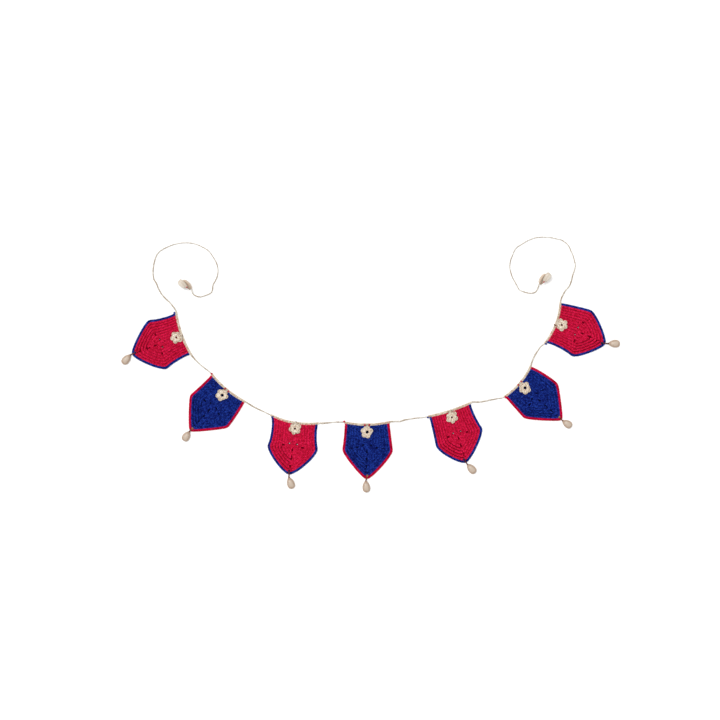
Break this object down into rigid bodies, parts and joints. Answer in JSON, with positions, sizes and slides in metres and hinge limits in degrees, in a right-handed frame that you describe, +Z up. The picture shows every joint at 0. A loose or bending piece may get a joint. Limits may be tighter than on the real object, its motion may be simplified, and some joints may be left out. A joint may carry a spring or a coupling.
{
  "type": "crochet toran",
  "caption": "Swag of house-shaped crocheted flags with flowers and hanging shells, joined by a crocheted cord whose free tails end in clusters of shells.",
  "frame": {"origin": "on the surface, under the middle of the row of flags", "axes": "+X along the row of flags, +Y towards the swag's opening, +Z up from the surface it lies on"},
  "size_m": [1.527, 0.7846, 0.0248],
  "materials": {
    "red_yarn": "matte cotton yarn",
    "blue_yarn": "matte cotton yarn",
    "cream_yarn": "matte cotton yarn",
    "brown_thread": "matte waxed thread",
    "natural_shell": "polished natural shell",
    "red_bead": "glossy"
  },
  "bodies": {
    "root": {"flag_1_panel": "red_yarn", "flag_1_edging": "blue_yarn", "flag_1_header": "cream_yarn", "flag_1_flower": "cream_yarn", "flag_1_shell": "natural_shell", "flag_1_tie": "brown_thread", "flag_2_panel": "blue_yarn", "flag_2_edging": "red_yarn", "flag_2_header": "cream_yarn", "flag_2_flower": "cream_yarn", "flag_2_shell": "natural_shell", "flag_2_tie": "brown_thread", "flag_3_panel": "red_yarn", "flag_3_edging": "blue_yarn", "flag_3_header": "cream_yarn", "flag_3_flower": "cream_yarn", "flag_3_shell": "natural_shell", "flag_3_tie": "brown_thread", "flag_4_panel": "blue_yarn", "flag_4_edging": "red_yarn", "flag_4_header": "cream_yarn", "flag_4_flower": "cream_yarn", "flag_4_shell": "natural_shell", "flag_4_tie": "brown_thread", "flag_5_panel": "red_yarn", "flag_5_edging": "blue_yarn", "flag_5_header": "cream_yarn", "flag_5_flower": "cream_yarn", "flag_5_shell": "natural_shell", "flag_5_tie": "brown_thread", "flag_6_panel": "blue_yarn", "flag_6_edging": "red_yarn", "flag_6_header": "cream_yarn", "flag_6_flower": "cream_yarn", "flag_6_shell": "natural_shell", "flag_6_tie": "brown_thread", "flag_7_panel": "red_yarn", "flag_7_edging": "blue_yarn", "flag_7_header": "cream_yarn", "flag_7_flower": "cream_yarn", "flag_7_shell": "natural_shell", "flag_7_tie": "brown_thread", "cord_link_1": "cream_yarn", "cord_link_2": "cream_yarn", "cord_link_3": "cream_yarn", "cord_link_4": "cream_yarn", "cord_link_5": "cream_yarn", "cord_link_6": "cream_yarn", "cord_tail_left": "cream_yarn", "cord_tail_right": "cream_yarn", "left_shell_near": "natural_shell", "left_shell_far": "natural_shell", "left_bead": "red_bead", "right_shell_near": "natural_shell", "right_shell_far": "natural_shell", "right_bead": "red_bead"}
  },
  "joints": []
}
